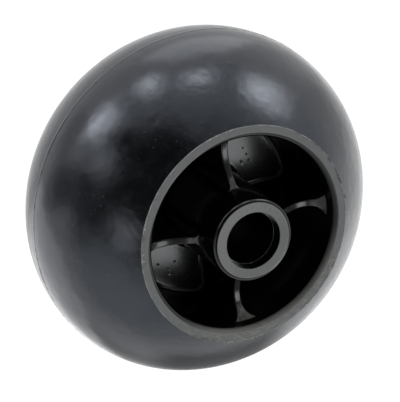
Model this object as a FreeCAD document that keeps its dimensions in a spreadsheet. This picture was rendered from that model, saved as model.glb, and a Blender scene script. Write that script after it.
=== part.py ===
import FreeCAD, Part
import Sketcher
import math
import os

# Deck wheel of a lawn mower: a moulded plastic hub with four spokes on each side of a web,
# and a thick smooth tyre moulded round its rim. The axle runs along Z, the middle plane is Z = 0.

document = FreeCAD.newDocument("deck_wheel")
sheet = document.addObject("Spreadsheet::Sheet", "Sizes")

# driving sizes in millimetres and degrees
sizes = {
    # whole wheel
    "wheel_diameter": 127.0,
    "rim_width": 76.2,
    "hub_length": 88.9,
    # bore for the axle, with a shallow counterbore at each end
    "axle_diameter": 19.05,
    "axle_clearance": 0.35,
    "counterbore_step": 0.6,
    "counterbore_depth": 3.7,
    # hub tube, measured at its end face
    "tube_diameter": 30.2,
    "tube_draft": 1.0,
    "tube_round": 1.4,
    # web that closes the wheel between the spokes
    "web_thickness": 9.5,
    "floor_fillet": 1.8,
    # rim band, its mouth measured in the plane of the rim face
    "mouth_diameter": 70.4,
    "rim_draft": 3.2,
    "mouth_round": 1.5,
    "rim_diameter": 79.4,
    # rib round the rim that keys the tyre
    "key_width": 12.0,
    "key_height": 3.0,
    # spokes, their thickness measured at the lowest point of the hollowed front edge
    "spoke_count": 4,
    "spoke_angle": 45.0,
    "spoke_thickness": 2.8,
    "spoke_draft": 1.0,
    "spoke_tube_blend": 2.0,
    "spoke_rim_blend": 3.5,
    # the front edge dips between its two ends, which are let into tube and rim
    "dip_depth": 10.6,
    "dip_radius": 27.4,
    "dip_tube_rise": 6.0,
    "dip_tube_seat": 0.8,
    "dip_tube_pull": 22.5,
    "dip_rim_rise": 6.1,
    "dip_rim_seat": 0.1,
    "dip_rim_pull": 33.0,
    # tyre section, with the raised mould seam round its crown
    "crown_reach": 19.4,
    "tyre_lip": 0.4,
    "seam_height": 0.15,
    "seam_width": 0.8,
    # how far a cutting profile stands clear of the solid
    "cut_margin": 1.0,
}

# sizes worked out from the driving ones
derived = {
    "rim_half": "rim_width / 2",
    "hub_half": "hub_length / 2",
    "web_half": "web_thickness / 2",
    "rim_radius": "rim_diameter / 2",
    "bore_radius": "(axle_diameter + axle_clearance) / 2",
    "counterbore_radius": "bore_radius + counterbore_step",
    "counterbore_floor": "hub_half - counterbore_depth",
    "bore_top": "hub_half + cut_margin",
    # tube and rim walls where they reach the web, and the tube in the plane of the rim face
    "tube_end": "tube_diameter / 2",
    "tube_web": "tube_end + (hub_half - web_half) * tan(tube_draft * 1 deg)",
    "tube_face": "tube_end + (hub_half - rim_half) * tan(tube_draft * 1 deg)",
    "mouth_radius": "mouth_diameter / 2",
    "rim_web": "mouth_radius - (rim_half - web_half) * tan(rim_draft * 1 deg)",
    # tangent points of the round on the tube's end
    "tube_round_run": "tube_round / tan((45 + tube_draft / 2) * 1 deg)",
    "tube_round_top": "tube_end - tube_round_run",
    "tube_round_side": "tube_end + tube_round_run * sin(tube_draft * 1 deg)",
    "tube_round_drop": "hub_half - tube_round_run * cos(tube_draft * 1 deg)",
    # tangent points of the round at the rim's mouth
    "mouth_run": "mouth_round / tan((45 + rim_draft / 2) * 1 deg)",
    "mouth_side": "mouth_radius - mouth_run * sin(rim_draft * 1 deg)",
    "mouth_drop": "rim_half - mouth_run * cos(rim_draft * 1 deg)",
    "mouth_face": "mouth_radius + mouth_run",
    # key rib
    "key_half": "key_width / 2",
    "key_radius": "rim_radius + key_height",
    # spoke outline in the middle plane, its end inside the rim band
    "dip_low": "rim_half - dip_depth",
    "spoke_half": "spoke_thickness / 2 + dip_low * tan(spoke_draft * 1 deg)",
    "spoke_end": "(mouth_face + rim_radius) / 2",
    # front edge of the spokes: two bends that share their lowest point
    "dip_tube_end": "tube_face - dip_tube_seat",
    "dip_tube_top": "dip_low + dip_tube_rise",
    "dip_rim_end": "mouth_radius + dip_rim_seat",
    "dip_rim_top": "dip_low + dip_rim_rise",
    # tyre section: each side leaves the seam square to the axle and bends over to the lip
    "seam_half": "seam_width / 2",
    "seam_top": "wheel_diameter / 2",
    "crown_top": "seam_top - seam_height",
    "crown_pull": "seam_half + crown_reach",
    "lip_radius": "rim_radius + tyre_lip",
}

for row, (alias, value) in enumerate({**sizes, **derived}.items(), start=1):
    sheet.set("A%d" % row, alias)
    sheet.set("B%d" % row, "=" + value if alias in derived else str(value))
    sheet.setAlias("B%d" % row, alias)
document.recompute()


def size(alias):
    # value of a size; a minus sign before its name turns it round, and None is zero
    if alias is None:
        return 0.0
    if alias.startswith("-"):
        return -float(sheet.get(alias[1:]))
    return float(sheet.get(alias))


def bound(alias):
    return "-Sizes." + alias[1:] if alias.startswith("-") else "Sizes." + alias


def originPart(body, role):
    return next(part for part in body.Origin.OriginFeatures if part.Role == role)


def newSketch(body, name, role):
    sketch = body.newObject("Sketcher::SketchObject", name)
    sketch.AttachmentSupport = [(originPart(body, role), "")]
    sketch.MapMode = "FlatFace"
    return sketch


def bindPoint(sketch, edge, end, point):
    # ties an end point to its two sizes; None lies on the axis
    for kind, axis, alias in (("DistanceX", -2, point[0]), ("DistanceY", -1, point[1])):
        if alias is None:
            sketch.addConstraint(Sketcher.Constraint("PointOnObject", edge, end, axis))
            continue
        index = sketch.addConstraint(Sketcher.Constraint(kind, -1, 1, edge, end, size(alias)))
        sketch.setExpression("Constraints[%d]" % index, bound(alias))


def placeOf(point):
    return FreeCAD.Vector(size(point[0]), size(point[1]), 0)


def addArc(sketch, first, last, alias):
    # arc of a named radius that bulges to the right of its direction
    chord = last - first
    radius = size(alias)
    sagitta = radius - math.sqrt(radius ** 2 - (chord.Length / 2) ** 2)
    across = FreeCAD.Vector(chord.y, -chord.x, 0).normalize()
    edge = sketch.addGeometry(Part.Arc(first, (first + last) / 2 + across * sagitta, last))
    index = sketch.addConstraint(Sketcher.Constraint("Radius", edge, radius))
    sketch.setExpression("Constraints[%d]" % index, bound(alias))
    start = sketch.Geometry[edge].StartPoint
    forward = start.distanceToPoint(first) < start.distanceToPoint(last)
    return (edge, 1, 2) if forward else (edge, 2, 1)


def addBend(sketch, first, last, pull):
    # smooth bend drawn towards one named point, which both its end tangents pass through
    curve = Part.BSplineCurve()
    curve.buildFromPolesMultsKnots([first, placeOf(pull), last], [3, 3], [0, 1], False, 2)
    edge = sketch.addGeometry(curve)
    sketch.exposeInternalGeometry(edge)
    bindPoint(sketch, edge + 2, 3, pull)
    return edge, 1, 2


def addOutline(sketch, points, arcs={}, bends={}):
    # closed outline through named points; the edges counted in arcs and bends are round
    edges = []
    for number, point in enumerate(points):
        first = placeOf(point)
        last = placeOf(points[(number + 1) % len(points)])
        if number in arcs:
            edges.append(addArc(sketch, first, last, arcs[number]))
        elif number in bends:
            edges.append(addBend(sketch, first, last, bends[number]))
        else:
            edges.append((sketch.addGeometry(Part.LineSegment(first, last)), 1, 2))
    for number, (edge, head, tail) in enumerate(edges):
        following, start, end = edges[(number + 1) % len(edges)]
        sketch.addConstraint(Sketcher.Constraint("Coincident", edge, tail, following, start))
        bindPoint(sketch, edge, head, points[number])


def turn(body, kind, name, points, arcs={}, bends={}):
    # solid or cut made by turning an outline of radius and height about the axle
    sketch = newSketch(body, name + "_outline", "XZ_Plane")
    addOutline(sketch, points, arcs, bends)
    feature = body.newObject(kind, name)
    feature.Profile = sketch
    feature.ReferenceAxis = (sketch, ["V_Axis"])
    feature.Angle = 360
    document.recompute()
    return feature


def roundEdges(body, name, base, alias, wanted):
    # rounds those edges of the solid so far that the test picks out
    picked = ["Edge%d" % number for number, edge in enumerate(base.Shape.Edges, start=1) if wanted(edge)]
    fillet = body.newObject("PartDesign::Fillet", name)
    fillet.Base = (base, picked)
    fillet.setExpression("Radius", bound(alias))
    document.recompute()
    return fillet


def onFloor(height):
    return abs(height - size("web_half")) < 1e-4


def middleOf(edge):
    point = edge.valueAt((edge.FirstParameter + edge.LastParameter) / 2)
    return math.hypot(point.x, point.y), point.z


def isCorner(edge):
    # an upright edge in a pocket's corner rises from the web
    return sum(onFloor(vertex.Z) for vertex in edge.Vertexes) == 1


def isTubeCorner(edge):
    return isCorner(edge) and middleOf(edge)[0] < size("dip_radius")


def isRimCorner(edge):
    return isCorner(edge) and middleOf(edge)[0] > size("dip_radius")


def isFloorEdge(edge):
    return onFloor(middleOf(edge)[1]) and all(onFloor(vertex.Z) for vertex in edge.Vertexes)


def makeHub():
    # one half is built above the middle plane, then mirrored in it
    body = document.addObject("PartDesign::Body", "hub")
    body.Label = "hub"

    # spokes: a drafted plate from the axle into the rim band, repeated round the axle
    sketch = newSketch(body, "spoke_outline", "XY_Plane")
    sketch.setExpression("AttachmentOffset.Rotation.Angle", bound("spoke_angle"))
    addOutline(sketch, [
        (None, "-spoke_half"),
        ("spoke_end", "-spoke_half"),
        ("spoke_end", "spoke_half"),
        (None, "spoke_half"),
    ])
    spoke = body.newObject("PartDesign::Pad", "spoke")
    spoke.Profile = sketch
    spoke.setExpression("Length", bound("rim_half"))
    spoke.setExpression("TaperAngle", bound("-spoke_draft"))
    document.recompute()
    spokes = body.newObject("PartDesign::PolarPattern", "spokes")
    spokes.Originals = [spoke]
    spokes.Axis = (originPart(body, "Z_Axis"), [""])
    spokes.Angle = 360
    spokes.setExpression("Occurrences", bound("spoke_count"))
    body.Tip = spokes
    document.recompute()

    # hollow front edge of the spokes
    turn(body, "PartDesign::Groove", "dip", [
        ("dip_tube_end", "dip_tube_top"),
        ("dip_radius", "dip_low"),
        ("dip_rim_end", "dip_rim_top"),
        ("rim_radius", "dip_rim_top"),
        ("rim_radius", "hub_half"),
        ("dip_tube_end", "hub_half"),
    ], bends={0: ("dip_tube_pull", "dip_low"), 1: ("dip_rim_pull", "dip_low")})

    # tube, web and rim band in one turned section
    band = turn(body, "PartDesign::Revolution", "band", [
        (None, None),
        ("key_radius", None),
        ("key_radius", "key_half"),
        ("rim_radius", "key_half"),
        ("rim_radius", "rim_half"),
        ("mouth_face", "rim_half"),
        ("mouth_side", "mouth_drop"),
        ("rim_web", "web_half"),
        ("tube_web", "web_half"),
        ("tube_round_side", "tube_round_drop"),
        ("tube_round_top", "hub_half"),
        (None, "hub_half"),
    ], arcs={5: "mouth_round", 9: "tube_round"})

    # blends of the pockets: spoke into tube, spoke into rim, then round each floor
    tubeBlend = roundEdges(body, "tube_blend", band, "spoke_tube_blend", isTubeCorner)
    rimBlend = roundEdges(body, "rim_blend", tubeBlend, "spoke_rim_blend", isRimCorner)
    roundEdges(body, "floor_blend", rimBlend, "floor_fillet", isFloorEdge)

    # bore with its counterbore
    turn(body, "PartDesign::Groove", "bore", [
        (None, None),
        ("bore_radius", None),
        ("bore_radius", "counterbore_floor"),
        ("counterbore_radius", "counterbore_floor"),
        ("counterbore_radius", "bore_top"),
        (None, "bore_top"),
    ])

    whole = body.newObject("PartDesign::Mirrored", "whole")
    whole.TransformMode = "Whole shape"
    whole.MirrorPlane = (originPart(body, "XY_Plane"), [""])
    body.Tip = whole
    document.recompute()
    return body


def makeTyre():
    body = document.addObject("PartDesign::Body", "tyre")
    body.Label = "tyre"
    turn(body, "PartDesign::Revolution", "tread", [
        ("rim_radius", "-rim_half"),
        ("lip_radius", "-rim_half"),
        ("crown_top", "-seam_half"),
        ("seam_top", None),
        ("crown_top", "seam_half"),
        ("lip_radius", "rim_half"),
        ("rim_radius", "rim_half"),
        ("rim_radius", "key_half"),
        ("key_radius", "key_half"),
        ("key_radius", "-key_half"),
        ("rim_radius", "-key_half"),
    ], bends={1: ("crown_top", "-crown_pull"), 4: ("crown_top", "crown_pull")})
    return body


bodies = [makeHub(), makeTyre()]
for item in document.Objects:
    if "Invalid" in item.State or "Error" in item.State:
        raise RuntimeError("%s failed: %s" % (item.Name, item.getStatusString()))
for body in bodies:
    if body.Shape.isNull() or not body.Shape.isValid() or len(body.Shape.Solids) != 1:
        raise RuntimeError("%s is not one sound solid" % body.Label)

os.makedirs("parts", exist_ok=True)
for body in bodies:
    body.Shape.exportStep("parts/%s.step" % body.Label)
    box = body.Shape.BoundBox
    print("%s: %.1f x %.1f x %.1f mm, %.1f cm3" % (
        body.Label, box.XLength, box.YLength, box.ZLength, body.Shape.Volume / 1000))
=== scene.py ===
import math
import bmesh
import bpy
import numpy as np
from mathutils import Matrix, Vector


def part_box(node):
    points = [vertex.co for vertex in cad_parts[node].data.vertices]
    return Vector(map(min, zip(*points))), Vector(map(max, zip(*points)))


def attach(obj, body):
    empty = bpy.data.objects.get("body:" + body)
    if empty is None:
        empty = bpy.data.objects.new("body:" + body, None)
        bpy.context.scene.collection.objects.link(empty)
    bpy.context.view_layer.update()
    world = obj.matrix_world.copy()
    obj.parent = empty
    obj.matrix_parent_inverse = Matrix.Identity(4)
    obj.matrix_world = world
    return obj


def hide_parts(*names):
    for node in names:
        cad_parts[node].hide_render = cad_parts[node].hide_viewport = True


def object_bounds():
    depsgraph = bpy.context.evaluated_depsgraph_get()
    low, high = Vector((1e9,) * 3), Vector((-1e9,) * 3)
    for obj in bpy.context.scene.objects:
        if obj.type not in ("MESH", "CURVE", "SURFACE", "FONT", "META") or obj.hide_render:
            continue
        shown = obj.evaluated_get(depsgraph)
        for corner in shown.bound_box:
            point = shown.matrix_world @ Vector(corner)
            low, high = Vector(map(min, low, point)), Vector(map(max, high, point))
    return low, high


# Deck wheel of a lawn mower: black plastic hub with spokes and blind pockets, smooth rubber tyre.
# Sizes are in millimetres until a mesh, a lamp or the camera is made; the axle runs along Z.

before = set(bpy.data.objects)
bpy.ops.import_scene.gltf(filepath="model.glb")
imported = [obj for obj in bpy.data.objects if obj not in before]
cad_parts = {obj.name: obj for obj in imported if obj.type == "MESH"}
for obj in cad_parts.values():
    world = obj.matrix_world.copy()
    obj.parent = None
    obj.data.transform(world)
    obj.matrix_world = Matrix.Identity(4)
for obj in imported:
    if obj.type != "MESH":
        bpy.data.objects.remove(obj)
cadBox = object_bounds()
mm = 0.001
wheelRadius = max(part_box("tyre")[1].x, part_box("tyre")[1].y) / mm
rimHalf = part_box("tyre")[1].z / mm
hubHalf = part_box("hub")[1].z / mm
print("frame loaded: %d nodes, wheel radius %.2f mm" % (len(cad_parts), wheelRadius))


# Meshes

weldDistance = 2e-6  # points nearer to each other than this, in metres, become one
waveSizes = (0.5, 1.0)  # each wave of a sum gets a size between these
waveReach = 1.6  # widens a sum of waves to about -1 to 1


def gridQuads(rows, columns, closed):
    # quads between neighbouring points of a grid; closed joins the last column to the first
    i, j = np.meshgrid(np.arange(rows - 1), np.arange(columns if closed else columns - 1), indexing="ij")
    k = (j + 1) % columns
    corners = [i * columns + j, i * columns + k, (i + 1) * columns + k, (i + 1) * columns + j]
    return np.stack(corners, -1).reshape(-1, 4)


def makePiece(name, patches, material, sharpDegrees):
    # one object from grids of points; grids that share an edge are welded there
    points = []
    quads = []
    count = 0
    for grid, closed in patches:
        points.append(grid.reshape(-1, 3) * mm)
        quads.append(gridQuads(grid.shape[0], grid.shape[1], closed) + count)
        count += grid.shape[0] * grid.shape[1]
    mesh = bpy.data.meshes.new(name)
    mesh.from_pydata(np.concatenate(points), [], np.concatenate(quads))
    work = bmesh.new()
    work.from_mesh(mesh)
    bmesh.ops.remove_doubles(work, verts=work.verts, dist=weldDistance)
    bmesh.ops.dissolve_degenerate(work, edges=work.edges, dist=weldDistance)
    bmesh.ops.recalc_face_normals(work, faces=work.faces)
    openEdges = sum(not edge.is_manifold for edge in work.edges)
    work.to_mesh(mesh)
    work.free()
    mesh.shade_smooth()
    mesh.set_sharp_from_angle(angle=math.radians(sharpDegrees))
    mesh.materials.append(material)
    piece = bpy.data.objects.new(name, mesh)
    bpy.context.scene.collection.objects.link(piece)
    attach(piece, "root")
    print("%s: %d faces, %d open edges" % (name, len(mesh.polygons), openEdges))
    return piece


def revolve(profile, angles):
    # each row is one point of the profile (radius, height) carried round the axle
    radius, height = np.asarray(profile, float).T
    x = radius[:, None] * np.cos(angles)
    y = radius[:, None] * np.sin(angles)
    return np.stack([x, y, np.broadcast_to(height[:, None], x.shape)], -1)


def arc(centre, radius, first, last, steps):
    # points on a circle of (radius, height) between two angles in degrees
    turn = np.radians(np.linspace(first, last, steps + 1))
    return np.stack([centre[0] + radius * np.cos(turn), centre[1] + radius * np.sin(turn)], -1)


def joined(*runs):
    # runs of a profile put end to end, without the repeated points
    return np.concatenate([runs[0]] + [run[1:] for run in runs[1:]])


def path(corners, steps):
    # straight runs from corner to corner, each in its own number of steps
    runs = zip(corners, corners[1:], steps)
    return joined(*[np.linspace(first, last, count + 1) for first, last, count in runs])


def smooth(value, low, high):
    # smooth step from 0 at low to 1 at high
    share = np.clip((value - low) / (high - low), 0, 1)
    return share * share * (3 - 2 * share)


def waves(angles, counts, seed):
    # sum of sines with whole numbers of waves round the wheel, between about -1 and 1
    draw = np.random.default_rng(seed)
    phase = draw.uniform(0, 2 * np.pi, len(counts))
    size = draw.uniform(*waveSizes, len(counts))
    total = sum(s * np.sin(c * angles + p) for s, c, p in zip(size, counts, phase))
    return total / size.sum() * waveReach


# Shader maths

noiseMiddle = 0.5  # a noise has values from 0 to 1, spread round this one


class Wire:
    # a socket in a node tree; operators on wires add Math nodes
    def __init__(self, tree, socket=None):
        self.tree = tree
        self.socket = socket

    def add(self, kind, settings=None, inputs=None, output=0):
        # any node: its settings come first, then the values or links of its sockets
        node = self.tree.nodes.new(kind)
        for key, value in (settings or {}).items():
            setattr(node, key, value)
        for key, value in (inputs or {}).items():
            if isinstance(value, Wire):
                self.tree.links.new(value.socket, node.inputs[key])
            else:
                node.inputs[key].default_value = value
        return Wire(self.tree, node.outputs[output])

    def maths(self, operation, first, second=0.0):
        return self.add("ShaderNodeMath", {"operation": operation}, {0: first, 1: second})

    def __add__(self, other):
        return self.maths("ADD", self, other)

    def __sub__(self, other):
        return self.maths("SUBTRACT", self, other)

    def __rsub__(self, other):
        return self.maths("SUBTRACT", other, self)

    def __mul__(self, other):
        return self.maths("MULTIPLY", self, other)

    def __truediv__(self, other):
        return self.maths("DIVIDE", self, other)

    def __pow__(self, other):
        return self.maths("POWER", self, other)

    __radd__ = __add__
    __rmul__ = __mul__

    def size(self):
        # the value without its sign
        return self.maths("ABSOLUTE", self)

    def atMost(self, other):
        return self.maths("MINIMUM", self, other)

    def atLeast(self, other):
        return self.maths("MAXIMUM", self, other)

    def rise(self, low, high):
        # smooth step from 0 at low to 1 at high
        settings = {"interpolation_type": "SMOOTHSTEP"}
        return self.add("ShaderNodeMapRange", settings, {"Value": self, "From Min": low, "From Max": high})

    def between(self, low, high, softness):
        # 1 inside the band, falling to 0 over the softness outside it
        return self.rise(low - softness, low) * (1 - self.rise(high, high + softness))

    def xyz(self):
        parts = self.add("ShaderNodeSeparateXYZ", inputs={0: self}).socket.node.outputs
        return [Wire(self.tree, part) for part in parts]

    def millimetres(self):
        # x, y and z of a place, in millimetres
        return [part / mm for part in self.xyz()]

    def near(self, point):
        # distance to a fixed point, both in millimetres
        inputs = {0: self, 1: [value * mm for value in point]}
        return self.add("ShaderNodeVectorMath", {"operation": "DISTANCE"}, inputs, output="Value") / mm

    def stretched(self, scale):
        return self.add("ShaderNodeMapping", inputs={"Vector": self, "Scale": scale})

    def noise(self, scale, detail, roughness=0.55):
        # fractal noise; the scale is the number of its coarsest bumps in a metre
        return self.add("ShaderNodeTexNoise", inputs={
            "Vector": self, "Scale": scale, "Detail": detail, "Roughness": roughness})

    def spots(self, scale):
        # distance to the nearest of many scattered points
        return self.add("ShaderNodeTexVoronoi", inputs={"Vector": self, "Scale": scale})

    def blend(self, first, second):
        # colour mixed from first to second by this value; the numbers are the node's colour sockets
        return self.add("ShaderNodeMix", {"data_type": "RGBA"}, {0: self, 6: first, 7: second}, output=2)

    def bump(self, strength, depth, normal=None):
        # the normal tilted as if this value were a height; the depth is in millimetres
        inputs = {"Height": self, "Strength": strength, "Distance": depth * mm}
        if normal:
            inputs["Normal"] = normal
        return self.add("ShaderNodeBump", inputs=inputs)


def newMaterial(name, base, links):
    # principled material: plain values in base, wires in links
    material = bpy.data.materials.new(name)
    material.use_nodes = True
    tree = material.node_tree
    shader = tree.nodes["Principled BSDF"]
    for key, value in base.items():
        shader.inputs[key].default_value = value
    place = Wire(tree).add("ShaderNodeTexCoord", output="Object")
    for key, wire in links(place).items():
        tree.links.new(wire.socket, shader.inputs[key])
    return material


# Tyre

tyre = {
    "lipRadius": 39.85,
    "seatRadius": 39.7,
    "keyRadius": 42.7,
    "keyHalf": 6.0,
    "crownReach": 19.4,
    # mould seam: a low ridge round the crown, of which wear takes an uneven share
    "seamHeight": 0.15,
    "seamHalf": 0.4,
    "seamWear": 0.36,
    "seamUneven": 0.48,
    "seamWearMost": 0.8,
    "seamWaves": (7, 16, 41, 97, 150),
    "seamSeed": 3,
    # rows over the ridge and down one side, steps of the lip, the seat and the key, columns round the wheel
    "seamRows": 3,
    "sideRows": 46,
    "innerSteps": (2, 6, 2, 2),
    "columns": 576,
    "sharpDegrees": 30,
}

rubber = {
    "colour": (0.0020, 0.0022, 0.0025, 1),
    "worn": (0.0080, 0.0084, 0.0092, 1),
    "speckled": (0.090, 0.092, 0.095, 1),
    "ior": 1.65,
    "gloss": (0.82, 0.88, 1.0, 1),
    "sheen": 0.38,
    "sheenRoughness": 0.14,
    "roughness": 0.21,
    # each pattern: scale, detail and roughness of its noise
    "cloud": (38.0, 4.0, 0.6),
    "smear": (210.0, 4.0, 0.62),
    "smearStretch": (1.0, 1.0, 2.2),
    "wiping": (420.0, 3.0, 0.6),
    "wipingTurn": 0.05,
    "wavy": (52.0, 3.0, 0.6),
    "grain": (2200.0, 2.0, 0.6),
    # where each pattern turns into a worn film, and the share of the film there
    "cloudEdge": (0.45, 0.75),
    "smearEdge": (0.48, 0.72),
    "wipingEdge": (0.55, 0.75),
    "cloudFilm": 0.30,
    "smearFilm": 0.40,
    "wipingFilm": 0.40,
    # how far each pattern changes the roughness
    "cloudDull": 0.14,
    "smearDull": 0.14,
    "wipingDull": 0.12,
    "dustDull": 0.2,
    # strength and depth of the relief
    "wavyBump": (0.26, 1.6),
    "smearBump": (0.05, 0.6),
    "wipingBump": (0.06, 0.3),
    "grainBump": (0.30, 0.1),
    "dust": {"scale": 330.0, "size": (0.05, 0.13), "patches": (55.0, 1.0), "patchEdge": (0.55, 0.66)},
    "specks": {"scale": 520.0, "size": (0.04, 0.12), "patches": (85.0, 2.0), "patchEdge": (0.48, 0.62)},
}


def scattered(place, spots):
    # 1 on small round spots, only where a coarser noise is high
    patches = place.noise(*spots["patches"]).rise(*spots["patchEdge"])
    return (1 - place.spots(spots["scale"]).rise(*spots["size"])) * patches


def tyreFinish(place):
    # satin rubber: fine moulded grain, a slightly wavy skin, cloudy bloom, smears, dust and pale specks
    cloud = place.noise(*rubber["cloud"])
    smear = place.stretched(rubber["smearStretch"]).noise(*rubber["smear"])
    dust = scattered(place, rubber["dust"])
    # wiping marks run round the tyre
    x, y, z = place.xyz()
    turn = place.maths("ARCTAN2", y, x) * rubber["wipingTurn"]
    wiped = place.add("ShaderNodeCombineXYZ", inputs={0: turn, 1: z}).noise(*rubber["wiping"])
    film = smear.rise(*rubber["smearEdge"]) * rubber["smearFilm"]
    film = film + cloud.rise(*rubber["cloudEdge"]) * rubber["cloudFilm"]
    film = film + wiped.rise(*rubber["wipingEdge"]) * rubber["wipingFilm"]
    skin = (film + dust).atMost(1.0).blend(rubber["colour"], rubber["worn"])
    rough = rubber["roughness"] + dust * rubber["dustDull"]
    rough = rough + (cloud - noiseMiddle) * rubber["cloudDull"]
    rough = rough + (smear - noiseMiddle) * rubber["smearDull"]
    rough = rough + (wiped - noiseMiddle) * rubber["wipingDull"]
    normal = place.noise(*rubber["wavy"]).bump(*rubber["wavyBump"])
    normal = smear.bump(*rubber["smearBump"], normal)
    normal = wiped.bump(*rubber["wipingBump"], normal)
    return {
        "Base Color": scattered(place, rubber["specks"]).blend(skin, rubber["speckled"]),
        "Roughness": rough,
        "Normal": place.noise(*rubber["grain"]).bump(*rubber["grainBump"], normal),
    }


def tyreSection():
    # each side leaves the seam square to the axle and bends to the lip: radius falls with the square of t,
    # height is the quadratic curve pulled to crownReach; the seam is a low ridge between the two sides
    t = np.linspace(0, 1, tyre["sideRows"] + 1)
    crown = wheelRadius - tyre["seamHeight"]
    pull = tyre["seamHalf"] + tyre["crownReach"]
    radius = crown - (crown - tyre["lipRadius"]) * t ** 2
    height = tyre["seamHalf"] * (1 - t) ** 2 + 2 * pull * t * (1 - t) + rimHalf * t ** 2
    ridge = path([(wheelRadius, 0), (crown, tyre["seamHalf"])], [tyre["seamRows"]])
    inner = path([
        (tyre["lipRadius"], rimHalf),
        (tyre["seatRadius"], rimHalf),
        (tyre["seatRadius"], tyre["keyHalf"]),
        (tyre["keyRadius"], tyre["keyHalf"]),
        (tyre["keyRadius"], 0),
    ], tyre["innerSteps"])
    return joined(ridge, np.stack([radius, height], -1), inner)


def makeTyre():
    angles = np.linspace(0, 2 * np.pi, tyre["columns"], endpoint=False)
    upper = revolve(tyreSection(), angles)
    # wear brings the ridge's points nearer to the crown by a share of their height over it, a sum of waves
    ridge = upper[:tyre["seamRows"]]
    uneven = tyre["seamUneven"] * waves(angles, tyre["seamWaves"], tyre["seamSeed"])
    wear = np.clip(tyre["seamWear"] + uneven, 0, tyre["seamWearMost"])
    rise = np.hypot(ridge[..., 0], ridge[..., 1]) - wheelRadius + tyre["seamHeight"]
    ridge[..., :2] *= (1 - wear * rise / wheelRadius)[..., None]
    lower = upper * (1, 1, -1)
    material = newMaterial("tyreRubber", {
        "IOR": rubber["ior"],
        "Specular Tint": rubber["gloss"],
        "Sheen Weight": rubber["sheen"],
        "Sheen Roughness": rubber["sheenRoughness"],
    }, tyreFinish)
    patches = [(upper, True), (lower, True)]
    piece = makePiece("tyre_skin", patches, material, tyre["sharpDegrees"])
    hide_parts("tyre")


# Flash: thin ragged fins of squeezed-out material, left on a round edge

flash = {
    "reach": 1.25,
    "thickness": 0.16,
    "sunk": 0.12,
    "offset": 0.1,
    # corners of a fin's section: share of its length, where -1 is the sunk root, and share of its thickness
    "section": ((-1, 0.5), (0.55, 0.5), (1, 0.18), (1, -0.18), (0.55, -0.5), (-1, -0.5), (-1, 0.5)),
    # waves that break up the length, and waves that let the lean wander by some degrees
    "lengthWaves": (29, 47, 83, 131, 190),
    "lengthEven": 0.65,
    "lengthRagged": 0.9,
    "lengthLimits": (0.05, 1.5),
    "leanWaves": (5, 13, 31, 59),
    "leanWander": 30,
    "columns": 900,
    "sharpDegrees": 60,
    "colour": (0.120, 0.122, 0.118, 1),
    "bright": (0.330, 0.330, 0.310, 1),
    "ior": 1.5,
    "roughness": 0.42,
    "roughnessChange": 0.3,
    "patches": (260.0, 3.0, 0.6),
    "patchEdge": (0.35, 0.65),
    "grain": (1800.0, 2.0),
    "grainBump": (0.2, 0.2),
}

# lengths: an angle in degrees and the fin's length there as a share of the reach, read off the photograph;
# lean: degrees from outwards to along the axle, changed by the swing on the +X side, the other way on -X
tyreFlash = {
    "lengths": (
        (-180, 0.14), (-158, 0.30), (-152, 0.62), (-134, 0.72), (-130, 0.16), (-108, 0.12), (-103, 0.55),
        (-94, 0.60), (-91, 0.22), (-83, 0.42), (-60, 0.62), (-54, 0.30), (-50, 0.05), (-46, 0.55),
        (-42, 0.10), (0, 0.08), (40, 0.10), (52, 0.45), (56, 0.12), (61, 0.75), (66, 0.42), (69, 0.10),
        (73, 0.80), (78, 0.15), (82, 0.75), (92, 0.45), (96, 0.30), (98, 0.95), (101, 0.15), (140, 0.16),
        (180, 0.14),
    ),
    "lean": 88,
    "swing": -52,
    "seed": 11,
}
boreFlash = {
    "lengths": (
        (-180, 0.0), (-90, 0.0), (-80, 0.45), (-70, 0.20), (-62, 0.60), (-46, 0.70), (-40, 0.15),
        (-10, 0.12), (40, 0.20), (50, 0.0), (180, 0.0),
    ),
    "lean": 120,
    "swing": 0,
    "seed": 23,
}


def flashFinish(place):
    # stretched rubber and plastic, paler in patches
    patches = place.noise(*flash["patches"])
    return {
        "Base Color": patches.rise(*flash["patchEdge"]).blend(flash["colour"], flash["bright"]),
        "Roughness": flash["roughness"] + (patches - noiseMiddle) * flash["roughnessChange"],
        "Normal": place.noise(*flash["grain"]).bump(*flash["grainBump"]),
    }


def makeFlash(name, edge, root, material):
    # a closed strip round the axle: its section is a thin wedge that starts under the edge and leans over;
    # the length follows the named angles, broken up by waves; the lean swings round the wheel and wanders
    angles = np.linspace(-np.pi, np.pi, flash["columns"], endpoint=False)
    named = np.array(edge["lengths"])
    length = np.interp(np.degrees(angles), named[:, 0], named[:, 1]) * flash["reach"]
    ragged = flash["lengthRagged"] * waves(angles, flash["lengthWaves"], edge["seed"])
    length = length * np.clip(flash["lengthEven"] + ragged, *flash["lengthLimits"])
    wander = flash["leanWander"] * waves(angles, flash["leanWaves"], edge["seed"] + 1)
    lean = np.radians(edge["lean"] + edge["swing"] * np.cos(angles) + wander)
    rows = []
    for share, side in flash["section"]:
        along = share * length if share > 0 else -flash["sunk"]
        across = side * flash["thickness"]
        radius = root[0] + along * np.cos(lean) - across * np.sin(lean)
        height = root[1] + along * np.sin(lean) + across * np.cos(lean)
        rows.append(np.stack([radius * np.cos(angles), radius * np.sin(angles), height], -1))
    makePiece(name, [(np.stack(rows), True)], material, flash["sharpDegrees"])


def makeFlashes():
    material = newMaterial("flashSkin", {"IOR": flash["ior"]}, flashFinish)
    lip = (tyre["seatRadius"] + flash["offset"], rimHalf)
    step = (hub["boreRadius"] + flash["offset"], hubHalf - hub["counterDepth"])
    makeFlash("tyre_flash", tyreFlash, lip, material)
    makeFlash("bore_flash", boreFlash, step, material)


# Hub

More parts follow.
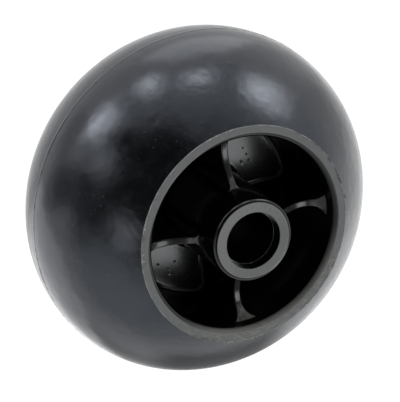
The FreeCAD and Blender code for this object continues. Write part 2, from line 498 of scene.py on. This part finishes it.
hub = {
    "boreRadius": 9.7,
    "counterRadius": 10.3,
    "counterDepth": 3.7,
    "boreEdge": 0.2,
    "tubeRadius": 15.1,
    "tubeDraft": math.tan(math.radians(1.0)),
    "tubeRound": 1.4,
    "webHalf": 4.75,
    "floorFillet": 1.8,
    "mouthRadius": 35.6,
    "rimDraft": math.tan(math.radians(3.2)),
    "mouthRound": 1.8,
    "spokeAngle": math.radians(45.0),
    "spokeThickness": 2.8,
    "spokeDraft": math.tan(math.radians(1.0)),
    "tubeBlend": 2.0,
    "rimBlend": 3.5,
    # rounding of the spokes' front edges, and the share of a corner over which it fades out
    "edgeRound": 0.7,
    "edgeFade": 0.7,
    # front edge of the spokes: its lowest point, and the end, pull and rise of the bend on each side
    "dipLow": 27.5,
    "dipRadius": 27.4,
    "dipTubeEnd": 14.41,
    "dipTubePull": 22.5,
    "dipTubeRise": 6.0,
    "dipRimEnd": 35.3,
    "dipRimPull": 33.0,
    "dipRimRise": 6.1,
    "topTries": 12,
    # steps along the tube wall, its corner, the spoke, the rim corner and the rim wall
    "outlineSteps": (10, 9, 22, 14, 24),
    # rows over the front edge, down the wall and round the floor fillet, and steps across a front face
    "roundRows": 6,
    "wallRows": 9,
    "filletRows": 8,
    "acrossSteps": 10,
    # steps of the tube's profile: wall, rounding, end face, edge, then counterbore, its floor and the bore
    "tubeSteps": (8, 6, 5, 4),
    "boreSteps": (5, 2, 12),
    # steps of the rim's profile: wall, rounding, then face, seat and key
    "rimSteps": (6, 8),
    "seatSteps": (5, 4, 2, 2),
    "sharpDegrees": 50,
}


def dipHeight(radius):
    # front edge of the spokes: two quadratic bends that share their lowest point, each drawn towards
    # a point level with it; the share of the bend comes from the radius by the quadratic formula
    inner = radius < hub["dipRadius"]
    away = np.abs(radius - hub["dipRadius"])
    pull = np.abs(np.where(inner, hub["dipTubePull"], hub["dipRimPull"]) - hub["dipRadius"])
    reach = np.abs(np.where(inner, hub["dipTubeEnd"], hub["dipRimEnd"]) - hub["dipRadius"])
    share = away / (pull + np.sqrt(np.maximum(pull ** 2 + (reach - 2 * pull) * away, 0)))
    return hub["dipLow"] + np.where(inner, hub["dipTubeRise"], hub["dipRimRise"]) * share ** 2


# each point of a pocket's half outline: which of the five runs it is on, and its share of that run
outlineSteps = hub["outlineSteps"]
outlineKind = np.concatenate([[0]] + [np.full(steps, kind) for kind, steps in enumerate(outlineSteps)])
outlineShare = np.concatenate([[0]] + [np.arange(1, steps + 1) / steps for steps in outlineSteps])
outlineCount = len(outlineKind)
tubeEnd = outlineSteps[0]
rimEnd = sum(outlineSteps[:-1])


def pocketOutline(height, inset):
    # half outline of a pocket at each height, pulled in by the inset: along the tube wall, round the
    # corner, along the spoke, round the corner and along the rim wall; along runs out beside the spoke's
    # middle line, away runs square to it; the last two results are the direction out of the pocket
    tube = hub["tubeRadius"] + (hubHalf - height) * hub["tubeDraft"] + inset
    rim = hub["mouthRadius"] - (rimHalf - height) * hub["rimDraft"] - inset
    side = hub["spokeThickness"] / 2 + (hub["dipLow"] - height) * hub["spokeDraft"] + inset
    tubeCorner = hub["tubeBlend"] - inset
    rimCorner = hub["rimBlend"] - inset
    tubeTurn = np.arcsin((side + tubeCorner) / (tube + tubeCorner))
    rimTurn = np.arcsin((side + rimCorner) / (rim - rimCorner))
    tubeFoot = (tube + tubeCorner) * np.cos(tubeTurn)
    rimFoot = (rim - rimCorner) * np.cos(rimTurn)
    half = hub["spokeAngle"]
    share = np.broadcast_to(outlineShare, height.shape)
    tubeAngle = half + (tubeTurn - half) * share
    tubeBend = np.pi + tubeTurn + (np.pi / 2 - tubeTurn) * share
    rimBend = (rimTurn + np.pi / 2) * share - np.pi / 2
    rimAngle = rimTurn + (half - rimTurn) * share
    zero = np.zeros_like(share)
    kind = np.broadcast_to(outlineKind, height.shape)
    along = np.choose(kind, [
        tube * np.cos(tubeAngle),
        tubeFoot + tubeCorner * np.cos(tubeBend),
        tubeFoot + (rimFoot - tubeFoot) * share,
        rimFoot + rimCorner * np.cos(rimBend),
        rim * np.cos(rimAngle),
    ])
    away = np.choose(kind, [
        tube * np.sin(tubeAngle),
        side + tubeCorner + tubeCorner * np.sin(tubeBend),
        side,
        side + rimCorner + rimCorner * np.sin(rimBend),
        rim * np.sin(rimAngle),
    ])
    outAlong = np.choose(kind, [zero, np.cos(tubeBend), zero, np.cos(rimBend), zero])
    outAway = np.choose(kind, [zero, np.sin(tubeBend), zero - 1, np.sin(rimBend), zero])
    return along, away, outAlong, outAway


def topHeights():
    # where the pocket's wall meets the front edge surface, by repeated substitution
    height = np.full((1, outlineCount), hub["dipLow"])
    for attempt in range(hub["topTries"]):
        height = dipHeight(np.hypot(*pocketOutline(height, 0)[:2]))
    return height


def pocketWalls():
    # half a pocket: rows go over the rounded front edge, down the drafted wall and round the floor fillet;
    # the rounding fades out where the spoke's corners run into the tube and the rim
    fade = hub["edgeFade"]
    none = np.zeros(outlineCount)
    intoTube = smooth(outlineShare, 0, fade)
    intoRim = 1 - smooth(outlineShare, 1 - fade, 1)
    roundness = hub["edgeRound"] * np.choose(outlineKind, [none, intoTube, none + 1, intoRim, none])
    along, away, outAlong, outAway = pocketOutline(topHeights(), 0)
    rows = []
    for turn in np.linspace(np.pi / 2, 0, hub["roundRows"] + 1):
        shift = roundness * (1 - np.cos(turn))
        edge = (along + outAlong * shift, away + outAway * shift)
        rows.append((*edge, dipHeight(np.hypot(*edge)) - roundness * (1 - np.sin(turn))))
    start = rows[-1][2]
    fillet = hub["floorFillet"]
    wallFoot = hub["webHalf"] + fillet
    for share in np.linspace(0, 1, hub["wallRows"] + 1)[1:]:
        height = start + (wallFoot - start) * share
        rows.append((*pocketOutline(height, 0)[:2], height))
    for turn in np.linspace(0, np.pi / 2, hub["filletRows"] + 1)[1:]:
        height = np.full((1, outlineCount), hub["webHalf"] + fillet * (1 - np.sin(turn)))
        rows.append((*pocketOutline(height, fillet * (1 - np.cos(turn)))[:2], height))
    along, away, height = (np.concatenate(part) for part in zip(*rows))
    # turned so that the pocket's middle lies on X, with the spoke at the spoke angle
    c, s = math.cos(hub["spokeAngle"]), math.sin(hub["spokeAngle"])
    return np.stack([along * c + away * s, along * s - away * c, height], -1)


def turned(grid, quarter):
    # grid carried a number of quarter turns round the axle
    c, s = round(math.cos(quarter * math.pi / 2)), round(math.sin(quarter * math.pi / 2))
    x, y, z = np.moveaxis(grid, -1, 0)
    return np.stack([c * x - s * y, s * x + c * y, z], -1)


# sink pits in the floors of two pockets: place of each in its pocket, whose middle lies on X, and radius
pits = {
    "upper": ((24.49, -0.88, 0.36), (23.44, -3.55, 0.46), (22.18, -5.87, 0.50), (20.11, -3.82, 0.46)),
    "lower": ((22.70, 4.75, 0.50), (27.08, -0.38, 0.55), (26.20, 4.33, 0.42), (27.60, 5.60, 0.30)),
    "depthShare": 0.6,
    "tip": 0.12,
    # a floor's rows, and the inner share of a pitted floor that has fine rows
    "coarseRows": 8,
    "fineRows": 46,
    "fineShare": 0.45,
}
# the point that each floor's grid is drawn in to, near the pits where there are any
floorPoles = {"plain": (26.0, 0.0), "upper": (23.5, -3.0), "lower": (25.3, 2.9)}


def pocketFloor(edge, kind):
    # the pocket's edge drawn in to the pole; each pit is a cone with a rounded tip
    pole = np.array([*floorPoles[kind], hub["webHalf"]])
    share = np.linspace(1, 0, pits["coarseRows"] + 1)
    if kind in pits:
        outer = np.linspace(1, pits["fineShare"], pits["coarseRows"] + 1)
        inner = np.linspace(pits["fineShare"], 0, pits["fineRows"] + 1)
        share = joined(outer, inner)
    grid = pole + (edge - pole) * share[:, None, None]
    for x, y, radius in pits.get(kind, ()):
        away = np.hypot(grid[..., 0] - x, grid[..., 1] - y)
        slope = radius - np.hypot(np.minimum(away, radius), pits["tip"] * radius)
        grid[..., 2] -= pits["depthShare"] * np.maximum(slope, 0)
    return grid[1:]


def pocket(walls, kind):
    # closed rings of the walls, then the floor
    rings = np.concatenate([walls, walls[:, -2:0:-1] * (1, -1, 1)], 1)
    return np.concatenate([rings, pocketFloor(rings[-1], kind)])


plastic = {
    "colour": (0.0012, 0.0012, 0.0013, 1),
    "scuffed": (0.060, 0.060, 0.052, 1),
    # pale colour of the painted glints and highlight lines, and of the mouth's dirt and painted light
    "paintedPale": (0.190, 0.190, 0.180, 1),
    "dirt": (0.115, 0.105, 0.062, 1),
    "ior": 1.5,
    "roughness": 0.15,
    # each pattern: scale, detail and roughness of its noise
    "cloud": (160.0, 4.0, 0.6),
    "swirl": (700.0, 4.0, 0.7),
    "swirlStretch": (1.0, 1.0, 0.2),
    "grain": (3000.0, 2.0),
    "streak": (900.0, 3.0, 0.65),
    "streakTurn": 0.02,
    "relief": (0.12, 0.2),
    "grainRelief": 0.15,
    # masks of the faces: how far under a face and from its edge they fade, and the painted highlight line at
    # the edge
    "endDepth": (0.10, 0.02),
    "endEdge": 0.2,
    "edgeHighlightLine": (0.35, 0.05),
    "rimDepth": (0.12, 0.06),
    "rimEdge": 0.5,
    # the mouth of the rim is dull on the +X side, and paler there: partly dirt, partly painted light
    "mouthDepth": (2.2, 1.2),
    "mouthEdge": (0.6, 0.2),
    "mouthSide": (-8.0, 12.0),
    # the dirty part of the rim: its direction from the axle, the distance that way, and its streaks
    "dirtSide": (0.88, -0.47),
    "dirtReach": (12.0, 32.0),
    "dirtStreak": (0.50, 0.66),
    "dirtShare": 0.7,
    "mouthClean": 0.06,
    # a few short strokes across the end face, beside the bore
    "strokes": (-4.2, -10.2, hubHalf),
    "strokeReach": (1.4, 2.2),
    "strokeStretch": (0.9, 0.004),
    "stroke": (34.0, 1.0),
    "strokeEdge": (0.60, 0.68),
    # pocket floors, a painted highlight line along their fillets beside two spokes, and the pits
    "floorFade": (0.1, 0.5),
    "cornerBand": (0.2, 0.65, 0.12),
    "cornerSide": (4.0, 8.0),
    "cornerTurn": (1.0, 2.0),
    "pitDepth": (0.10, 0.03),
    # front edges of the spokes: how the mask fades at their borders, and the radius of the flared ends,
    # where a glint is painted
    "frontFade": (0.05, 0.4),
    "rimFlare": (29.5, 32.5),
    "tubeFlare": (17.0, 20.5),
    "flareEdge": (0.1, 0.9),
    "flareSwirl": (0.25, 0.65),
    # share of the scuffed colour in each place, broken up by the swirl
    "endScuff": 0.38,
    "endScuffMore": 0.80,
    "endScuffSide": (-12.0, 10.0),
    "rimScuff": 0.34,
    "frontScuff": 0.45,
    "floorScuff": 0.24,
    "swirlGain": 1.9,
    "swirlLoss": 0.1,
    # share of the painted highlight line at the end face's edge
    "edgeHighlightShare": 0.8,
    "strokeScuff": 1.2,
    "streakScuff": 0.5,
    # share of the pale colour, for painted light and for the mouth, and what each place adds to the
    # roughness
    "mouthPale": 0.55,
    # share of the pale colour in the painted highlight line on the floor fillets
    "cornerPale": 0.9,
    "cloudDull": 0.08,
    "faceDull": 0.20,
    "swirlDull": 0.3,
    "mouthDull": 0.36,
    "frontDull": 0.08,
    "floorDull": 0.04,
    "pitDull": 0.6,
}


def under(level, depths):
    # limits for a rise that starts and ends at these depths under a level
    return [level - depth for depth in depths]


def over(level, heights):
    # the same for heights over a level
    return [level + height for height in heights]


def hubFinish(place):
    # glossy moulded plastic: scuffed on the end of the tube, the rim face and the spokes' front edges,
    # dull at the mouth of the rim, dusty on the pocket floors, dirty on one side of the rim; painted
    # highlights on the end face's outer edge, the spokes' flared ends and two floors' fillets, and a paler
    # mouth: partly dirt, partly painted light
    x, y, z = place.millimetres()
    radius = (x * x + y * y) ** 0.5
    height = z.size()
    angle = place.maths("ARCTAN2", y, x)
    cloud = place.noise(*plastic["cloud"])
    swirl = place.stretched(plastic["swirlStretch"]).noise(*plastic["swirl"])
    ringwise = place.add("ShaderNodeCombineXYZ", inputs={0: angle * plastic["streakTurn"], 1: radius * mm})
    streak = ringwise.noise(*plastic["streak"])
    # masks of the flat faces and of the rim's mouth
    tubeEdge = hub["tubeRadius"] - hub["tubeRound"]
    endFace = height.rise(*under(hubHalf, plastic["endDepth"]))
    endFace = endFace * (1 - radius.rise(tubeEdge, tubeEdge + plastic["endEdge"]))
    # a painted highlight line round the outer edge of the end face
    edgeHighlightLine = endFace * radius.rise(*under(tubeEdge, plastic["edgeHighlightLine"]))
    faceEdge = hub["mouthRadius"] + hub["mouthRound"]
    rimFace = height.rise(*under(rimHalf, plastic["rimDepth"]))
    rimFace = rimFace * radius.rise(faceEdge - plastic["rimEdge"], faceEdge)
    face = (endFace + rimFace).atMost(1.0)
    mouth = height.rise(*under(rimHalf, plastic["mouthDepth"])) * (1 - rimFace)
    mouth = mouth * radius.rise(*under(hub["mouthRadius"], plastic["mouthEdge"]))
    mouth = mouth * x.rise(*plastic["mouthSide"])
    dirtSide = x * plastic["dirtSide"][0] + y * plastic["dirtSide"][1]
    dirtSide = dirtSide.rise(*plastic["dirtReach"])
    # the mouth is paler on the dirty side: partly dirt, partly painted light that evens out the dark
    # reflection along its rounding
    mouthDirtAndLight = mouth * (plastic["mouthClean"] + (1 - plastic["mouthClean"]) * dirtSide)
    dirt = dirtSide * (rimFace + mouthDirtAndLight).atMost(1.0) * streak.rise(*plastic["dirtStreak"])
    # strokes: a noise that changes mostly round the axle, near one place
    spin, spread = plastic["strokeStretch"]
    stroke = place.add("ShaderNodeCombineXYZ", inputs={0: angle * spin, 1: radius * spread})
    stroke = stroke.noise(*plastic["stroke"]).rise(*plastic["strokeEdge"])
    stroke = stroke * (1 - place.near(plastic["strokes"]).rise(*plastic["strokeReach"])) * endFace
    # masks of the spokes' front edges and of the painted glint on their flared ends, the pocket floors, the
    # painted highlight line along two floors' fillets, and the pits
    front = place.add("ShaderNodeAttribute", {"attribute_name": "frontEdge"}, output="Fac")
    flare = (front - 1).rise(*plastic["flareEdge"])
    webFloor = 1 - height.rise(*over(hub["webHalf"], plastic["floorFade"]))
    # a painted highlight line along the floor fillets of two pockets, beside two spokes
    low, high, softness = plastic["cornerBand"]
    corner = height.between(hub["webHalf"] + low, hub["webHalf"] + high, softness)
    corner = corner * x.rise(*plastic["cornerSide"]) * (y.size() - x).rise(*plastic["cornerTurn"])
    pit = 1 - height.rise(*under(hub["webHalf"], plastic["pitDepth"]))
    # colour: scuffed, then pale where light is painted and at the mouth, then dirty
    endScuff = plastic["endScuff"] + plastic["endScuffMore"] * (1 - x.rise(*plastic["endScuffSide"]))
    scuff = endFace * endScuff + rimFace * plastic["rimScuff"] + mouthDirtAndLight
    # the front edges are scuffed; the mask's share of up to 2 on the flared ends doubles this as painted
    # glint
    scuff = scuff + front * plastic["frontScuff"] + webFloor * plastic["floorScuff"]
    grey = scuff * (swirl * plastic["swirlGain"] - plastic["swirlLoss"])
    # the painted highlight line at the end face's edge, and the strokes
    grey = grey + edgeHighlightLine * plastic["edgeHighlightShare"] + stroke * plastic["strokeScuff"]
    grey = grey + rimFace * (streak - noiseMiddle) * plastic["streakScuff"]
    # pale: painted glint on the flared ends, the painted highlight line on the floor fillets, and the
    # mouth's dirt and painted light
    pale = flare * swirl.rise(*plastic["flareSwirl"])
    pale = pale + mouthDirtAndLight * plastic["mouthPale"] + corner * plastic["cornerPale"]
    colour = grey.atMost(1.0).blend(plastic["colour"], plastic["scuffed"])
    colour = pale.atMost(1.0).blend(colour, plastic["paintedPale"])
    rough = plastic["roughness"] + (cloud - noiseMiddle) * plastic["cloudDull"]
    rough = rough + face * (plastic["faceDull"] + (swirl - noiseMiddle) * plastic["swirlDull"])
    rough = rough + mouth * plastic["mouthDull"] + front * plastic["frontDull"]
    rough = rough + webFloor * plastic["floorDull"] + pit * plastic["pitDull"]
    relief = swirl * face + place.noise(*plastic["grain"]) * plastic["grainRelief"] + stroke
    return {
        "Base Color": (dirt * plastic["dirtShare"]).blend(colour, plastic["dirt"]),
        "Roughness": rough,
        "Normal": relief.bump(*plastic["relief"]),
    }


def markFrontEdges(piece):
    # for the material: 1 on the spokes' front edges between tube wall and rim wall, and 0 elsewhere; up to 2
    # on the flared ends, which carry a painted glint, at the rim on the +X side and at the tube on the -X
    # side
    places = np.empty(len(piece.data.vertices) * 3)
    piece.data.vertices.foreach_get("co", places)
    x, y, z = places.reshape(-1, 3).T / mm
    radius = np.hypot(x, y)
    height = np.abs(z)
    tube = hub["tubeRadius"] + (hubHalf - height) * hub["tubeDraft"]
    rim = hub["mouthRadius"] - (rimHalf - height) * hub["rimDraft"]
    share = smooth(radius - tube, *plastic["frontFade"]) * smooth(rim - radius, *plastic["frontFade"])
    share = share * (1 - smooth(dipHeight(radius) - height, *plastic["frontFade"]))
    flare = np.where(x > 0, smooth(radius, *plastic["rimFlare"]), 1 - smooth(radius, *plastic["tubeFlare"]))
    layer = piece.data.attributes.new("frontEdge", "FLOAT", "POINT")
    layer.data.foreach_set("value", share * (1 + flare))


def frontStrip(half):
    # front face of a spoke, two pocket edges joined by arcs about the axle, and the angles of its points
    edge = half[0, tubeEnd:rimEnd + 1]
    radius = np.hypot(edge[:, 0], edge[:, 1])[:, None]
    reach = hub["spokeAngle"] - np.arctan2(edge[:, 1], edge[:, 0])
    angles = hub["spokeAngle"] + reach[:, None] * np.linspace(-1, 1, hub["acrossSteps"] + 1)
    height = np.broadcast_to(edge[:, 2:3], angles.shape)
    return np.stack([radius * np.cos(angles), radius * np.sin(angles), height], -1), angles


def wallAngles(wall, stripAngles):
    # angles of a turned wall's points all round, taken from the pockets and front faces that it meets;
    # the wall's points go from the pocket's middle to the spoke
    angles = np.arctan2(wall[:, 1], wall[:, 0])
    quarter = np.sort(np.concatenate([-angles[1:], angles, stripAngles[1:-1]]))
    return (quarter + np.arange(4)[:, None] * np.pi / 2).ravel()


def rounding(radius, draft):
    # between a flat face and a drafted wall: how far it reaches along both, and the wall's tilt in degrees
    tilt = math.degrees(math.atan(draft))
    return radius / math.tan(math.radians(45 + tilt / 2)), tilt


def tubeProfile(start):
    # (radius, height) from the spokes up the tube wall, over its end and down the bore to the middle
    run, tilt = rounding(hub["tubeRound"], hub["tubeDraft"])
    wall, corner, face, edge = hub["tubeSteps"]
    lip = hub["boreEdge"]
    counterFloor = hubHalf - hub["counterDepth"]
    wallTop = (hub["tubeRadius"] + run * hub["tubeDraft"], hubHalf - run)
    faceEdge = hub["tubeRadius"] - run
    return joined(
        path([start, wallTop], [wall]),
        arc((faceEdge, hubHalf - hub["tubeRound"]), hub["tubeRound"], tilt, 90, corner),
        path([(faceEdge, hubHalf), (hub["counterRadius"] + lip, hubHalf)], [face]),
        arc((hub["counterRadius"] + lip, hubHalf - lip), lip, 90, 180, edge),
        path([
            (hub["counterRadius"], hubHalf - lip),
            (hub["counterRadius"], counterFloor),
            (hub["boreRadius"], counterFloor),
            (hub["boreRadius"], 0),
        ], hub["boreSteps"]),
    )


def rimProfile(start):
    # (radius, height) from the spokes up the rim wall, over the mouth and the face and down the tyre's seat
    run, tilt = rounding(hub["mouthRound"], hub["rimDraft"])
    wall, corner = hub["rimSteps"]
    wallTop = (hub["mouthRadius"] - run * hub["rimDraft"], rimHalf - run)
    faceEdge = hub["mouthRadius"] + run
    return joined(
        path([start, wallTop], [wall]),
        arc((faceEdge, rimHalf - hub["mouthRound"]), hub["mouthRound"], 180 - tilt, 90, corner),
        path([
            (faceEdge, rimHalf),
            (tyre["seatRadius"], rimHalf),
            (tyre["seatRadius"], tyre["keyHalf"]),
            (tyre["keyRadius"], tyre["keyHalf"]),
            (tyre["keyRadius"], 0),
        ], hub["seatSteps"]),
    )


def makeHub():
    half = pocketWalls()
    strip, stripAngles = frontStrip(half)
    tubeAngles = wallAngles(half[0, :tubeEnd + 1], stripAngles[0])
    rimAngles = wallAngles(half[0, :rimEnd - 1:-1], stripAngles[-1])
    tubeTop, rimTop = half[0, [tubeEnd, rimEnd]]
    tube = tubeProfile((math.hypot(*tubeTop[:2]), tubeTop[2]))
    rim = rimProfile((math.hypot(*rimTop[:2]), rimTop[2]))
    walls = [(revolve(tube, tubeAngles), True), (revolve(rim, rimAngles), True)]
    walls += [(turned(strip, quarter), False) for quarter in range(4)]
    floors = ("plain", "upper", "plain", "lower")
    patches = walls + [(turned(pocket(half, kind), quarter), True) for quarter, kind in enumerate(floors)]
    lower = walls + [(turned(pocket(half, "plain"), quarter), True) for quarter in range(4)]
    patches += [(grid * (1, 1, -1), closed) for grid, closed in lower]
    material = newMaterial("hubPlastic", {"IOR": plastic["ior"]}, hubFinish)
    piece = makePiece("hub_moulding", patches, material, hub["sharpDegrees"])
    markFrontEdges(piece)
    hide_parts("hub")


makeTyre()
makeHub()
makeFlashes()


# Camera, fitted to the outlines in the photograph

camera = {
    "imageSize": (400, 402),
    "sensor": 36.0,
    "distance": 1000.0,
    "nearest": 10.0,
    "farthest": 50000.0,
    "axisTilt": math.radians(33.544),
    "axisLean": math.radians(36.079),
    "spokeTurn": math.radians(1.5),
    "pixelsPerMm": 2.7928,
    "centrePixel": (196.16, 198.87),
}


def viewAxes():
    # picture directions (right, down, away from the viewer) of the wheel's own axes
    tilt, lean, spin = camera["axisTilt"], camera["axisLean"], camera["spokeTurn"]
    first = Vector((math.cos(tilt) * math.cos(lean), math.cos(tilt) * math.sin(lean), math.sin(tilt)))
    second = Vector((math.sin(lean), -math.cos(lean), 0))
    axle = Vector((math.sin(tilt) * math.cos(lean), math.sin(tilt) * math.sin(lean), -math.cos(tilt)))
    across = first * math.cos(spin) + second * math.sin(spin)
    beside = second * math.cos(spin) - first * math.sin(spin)
    return Matrix((across, beside, axle))


def makeCamera():
    right, down, away = viewAxes().col
    scale = camera["pixelsPerMm"]
    pixels = zip(camera["centrePixel"], camera["imageSize"])
    offset = [(centre - size / 2) / scale for centre, size in pixels]
    place = -(right * offset[0] + down * offset[1] + away * camera["distance"]) * mm
    data = bpy.data.cameras.new("viewCamera")
    data.sensor_width = camera["sensor"]
    data.lens = camera["sensor"] * scale * camera["distance"] / max(camera["imageSize"])
    data.clip_start = camera["nearest"] * mm
    data.clip_end = camera["farthest"] * mm
    item = bpy.data.objects.new("viewCamera", data)
    turn = Matrix((right, -down, -away)).transposed().to_4x4()
    item.matrix_world = Matrix.Translation(place) @ turn
    bpy.context.scene.collection.objects.link(item)
    bpy.context.scene.camera = item
    print("camera at", [round(value / mm) for value in place])


# Floor, surroundings and lamps

studio = {
    "floorHalf": 3000.0,
    "floorGap": 0.05,
    "floorColour": (0.9, 0.9, 0.9, 1),
    "floorGlow": 0.93,
    "floorLevel": 1.11,
    # dim sectors of the floor, for reflections: azimuth and half angle in degrees, start and end in
    # millimetres, and the share of the light that is taken away
    "dimSectors": (
        (-148, 9, 105, 3000, 0.75),
        (-34, 15, 82, 300, 0.76),
        (-73, 18, 75, 170, 0.48),
        (52, 12, 120, 900, 0.25),
        (-172, 10, 90, 150, 0.40),
    ),
    # how softly a sector starts, ends and fades sideways, as shares of its start, end and slope
    "sectorStart": (0.9, 1.6),
    "sectorEnd": (1.0, 1.4),
    "sectorEdge": (0.7, 1.7),
    # what the wheel sees round it: a pale horizon with a dim column in it, a bright panel high on the far
    # side, a bright strip of the back wall under it, and shade behind the camera
    "tint": (0.95, 0.98, 1.0, 1),
    "white": (1, 1, 1, 1),
    "horizon": 0.85,
    "horizonFade": (0.34, 0.90),
    "columnSide": (-0.77, -0.64),
    "columnEdge": (0.89, 0.97),
    "columnDim": 0.7,
    "panel": 3.5,
    "panelSide": (0.438, 0.0, 0.899),
    "panelEdge": (0.905, 0.965),
    "backWall": 2.4,
    "wallSide": (0.25, 0.6),
    "wallMiddle": -0.03,
    "wallEdge": (0.06, 0.20),
    "wallBand": (0.1, 0.6, 0.15),
    "shade": 0.03,
    "shadeSide": (-0.68, -0.18, 0.71),
    "shadeEdge": (0.67, 0.83),
}

# each lamp: azimuth and height of its direction from the wheel in degrees, distance, width and length in
# millimetres, and radiance; these face the wheel, bright corners with dimmer halos round them, faint patches
lamps = {
    "cornerA": (176, -14, 240, 50, 90, 4.4),
    "cornerB": (147, 0, 300, 40, 50, 3.4),
    "cornerC": (121, 7.5, 1000, 190, 110, 3.7),
    "cornerD": (88, 14, 1000, 240, 150, 3.6),
    "haloA": (175, -14, 250, 88, 200, 2.6),
    "haloAside": (-178, -22, 235, 70, 110, 1.7),
    "haloB": (146, 1, 310, 80, 90, 1.7),
    "haloC": (121, 8, 1050, 340, 210, 1.7),
    "haloD": (85, 11.5, 1050, 440, 250, 2.6),
    "faintE": (-168, 15, 320, 56, 60, 1.0),
    "softE": (-168, 15, 330, 100, 110, 0.65),
    "faintF": (160, 21, 330, 100, 60, 0.35),
    "faintG": (-131, 34, 320, 80, 30, 1.2),
    "softG": (-131, 34, 330, 120, 70, 0.65),
    "faintH": (-150, 19, 320, 50, 50, 0.3),
    "faintJ": (-92, 18, 1000, 520, 300, 0.16),
}
# these lie just over the floor and face up
floorLamps = {
    "floorA": (118, -13.0, 190, 110, 150, 1.05),
    "floorB": (-104, -14.5, 166, 130, 190, 0.7),
    "floorC": (25, -14.5, 166, 150, 190, 0.25),
}


def makeLamp(name, facesUp, azimuth, height, distance, width, length, radiance):
    # rectangular lamp, hidden from the camera; its power is pi times its radiance and its area
    data = bpy.data.lights.new(name, "AREA")
    data.shape = "RECTANGLE"
    data.size = width * mm
    data.size_y = length * mm
    data.energy = radiance * math.pi * data.size * data.size_y
    item = bpy.data.objects.new(name, data)
    turn, lift = math.radians(azimuth), math.radians(height)
    aim = Vector((math.cos(turn) * math.cos(lift), math.sin(turn) * math.cos(lift), math.sin(lift)))
    facing = aim.to_track_quat("Z", "Y").to_matrix().to_4x4()
    if facesUp:
        facing = Matrix.Rotation(turn - math.pi / 2, 4, "Z") @ Matrix.Rotation(math.pi, 4, "X")
    item.matrix_world = Matrix.Translation(aim * distance * mm) @ facing
    item.visible_camera = False
    bpy.context.scene.collection.objects.link(item)


def floorLight(wire):
    # light of the floor: 1, less in the dim sectors for rays that were reflected
    x, y, z = wire.add("ShaderNodeTexCoord", output="Object").millimetres()
    reflected = wire.add("ShaderNodeLightPath", output="Is Glossy Ray")
    light = 1.0
    for azimuth, halfAngle, start, end, share in studio["dimSectors"]:
        c, s = math.cos(math.radians(azimuth)), math.sin(math.radians(azimuth))
        edge = math.tan(math.radians(halfAngle))
        outward = x * c + y * s
        sideways = (x * s - y * c).size() / outward.atLeast(1.0)
        sector = outward.rise(*(start * part for part in studio["sectorStart"]))
        sector = sector * (1 - outward.rise(*(end * part for part in studio["sectorEnd"])))
        sector = sector * (1 - sideways.rise(*(edge * part for part in studio["sectorEdge"])))
        light = light - reflected * sector * share
    return light


def makeFloor():
    # pale paper that keeps the shadow; to the camera and in reflections it mostly glows
    half = studio["floorHalf"] * mm
    low = cadBox[0].z - studio["floorGap"] * mm
    corners = [(x * half, y * half, low) for x, y in ((-1, -1), (1, -1), (1, 1), (-1, 1))]
    mesh = bpy.data.meshes.new("studioFloor")
    mesh.from_pydata(corners, [], [(0, 1, 2, 3)])
    material = bpy.data.materials.new("floorPaper")
    material.use_nodes = True
    tree = material.node_tree
    tree.nodes.remove(tree.nodes["Principled BSDF"])
    wire = Wire(tree)
    seen = wire.add("ShaderNodeLightPath", output="Is Camera Ray")
    seen = (seen + wire.add("ShaderNodeLightPath", output="Is Glossy Ray")).atMost(1.0)
    paper = wire.add("ShaderNodeBsdfDiffuse", inputs={"Color": studio["floorColour"]})
    glow = {"Color": floorLight(wire), "Strength": studio["floorLevel"]}
    glow = wire.add("ShaderNodeEmission", inputs=glow)
    mixed = wire.add("ShaderNodeMixShader", inputs={0: seen * studio["floorGlow"], 1: paper, 2: glow})
    tree.links.new(mixed.socket, tree.nodes["Material Output"].inputs["Surface"])
    mesh.materials.append(material)
    floor = bpy.data.objects.new("studioFloor", mesh)
    bpy.context.scene.collection.objects.link(floor)


def towards(direction, side):
    # how far a direction points to a side: the sum of the products of their parts
    return sum(part * value for part, value in zip(direction, side))


def makeSurround():
    # white to the camera, the studio's walls and ceiling to everything else
    world = bpy.data.worlds.new("studio")
    world.use_nodes = True
    tree = world.node_tree
    start = Wire(tree)
    direction = start.add("ShaderNodeTexCoord", output="Generated").xyz()
    x, y, z = direction
    seen = start.add("ShaderNodeLightPath", output="Is Camera Ray")
    panel = towards(direction, studio["panelSide"]).rise(*studio["panelEdge"]) * studio["panel"]
    wall = x.rise(*studio["wallSide"]) * z.between(*studio["wallBand"])
    wall = wall * (1 - (y - studio["wallMiddle"]).size().rise(*studio["wallEdge"])) * studio["backWall"]
    column = towards(direction, studio["columnSide"]).rise(*studio["columnEdge"])
    horizon = (1 - z.rise(*studio["horizonFade"])) * (1 - column * studio["columnDim"]) * studio["horizon"]
    shade = towards(direction, studio["shadeSide"]).rise(*studio["shadeEdge"])
    level = studio["shade"] + (panel + wall + horizon) * (1 - shade)
    level = level * (1 - seen) + seen
    background = tree.nodes["Background"]
    tree.links.new(level.socket, background.inputs["Strength"])
    tree.links.new(seen.blend(studio["tint"], studio["white"]).socket, background.inputs["Color"])
    bpy.context.scene.world = world


makeCamera()
makeFloor()
makeSurround()
for name, values in lamps.items():
    makeLamp(name, False, *values)
for name, values in floorLamps.items():
    makeLamp(name, True, *values)
bpy.context.scene.view_settings.view_transform = "Standard"
print("camera, floor and lamps placed")
